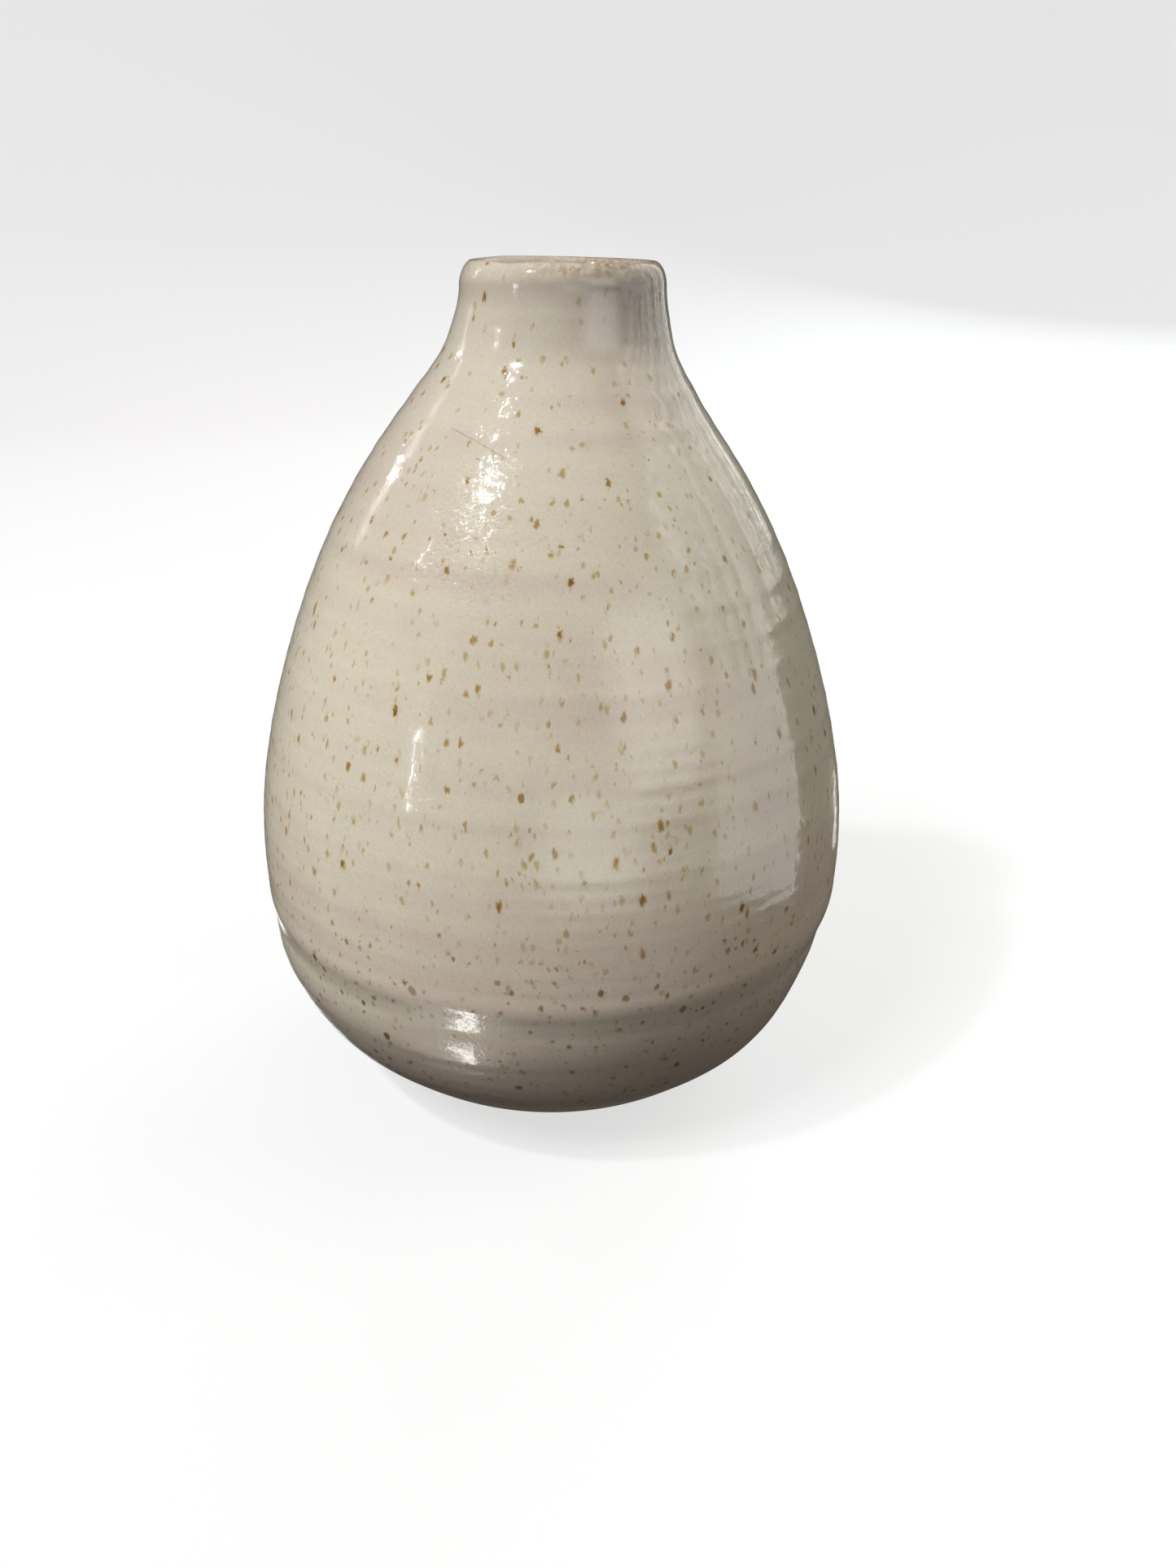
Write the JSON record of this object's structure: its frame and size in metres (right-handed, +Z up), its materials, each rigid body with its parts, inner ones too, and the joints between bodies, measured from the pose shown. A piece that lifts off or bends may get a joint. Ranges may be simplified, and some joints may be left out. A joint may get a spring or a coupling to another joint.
{
  "type": "ceramic bud vase",
  "caption": "Egg-shaped glazed stoneware bud vase with a short narrow collar, an open mouth for a stem or small posy, a hollow belly for water and a trimmed foot ring.",
  "frame": {"origin": "centre of the foot ring, on the surface that the vase stands on", "axes": "+Z up along the wheel's axis from the foot to the mouth; +X towards the side to which the collar stands off-centre by 1.6 mm, on the right in a front view; +Y away from the viewer of that front view"},
  "size_m": [0.1122, 0.1122, 0.15],
  "materials": {
    "stoneware": "bare fired buff stoneware with iron grog, dry and matt, fine turning lines on the foot ring",
    "outer_glaze": "glossy warm cream glaze with a faint pink-grey blush, brown iron specks, soft throwing bands and a fine orange-peel surface",
    "liner_glaze": "the same glossy cream glaze, thinner and a little darker, over the potter's finger rings",
    "well_glaze": "the same glaze pooled in the well of the foot, with a soft rounded edge"
  },
  "bodies": {
    "root": {"stoneware_body": "stoneware", "outer_glaze": "outer_glaze", "liner_glaze": "liner_glaze", "foot_well_glaze": "well_glaze"}
  },
  "joints": []
}
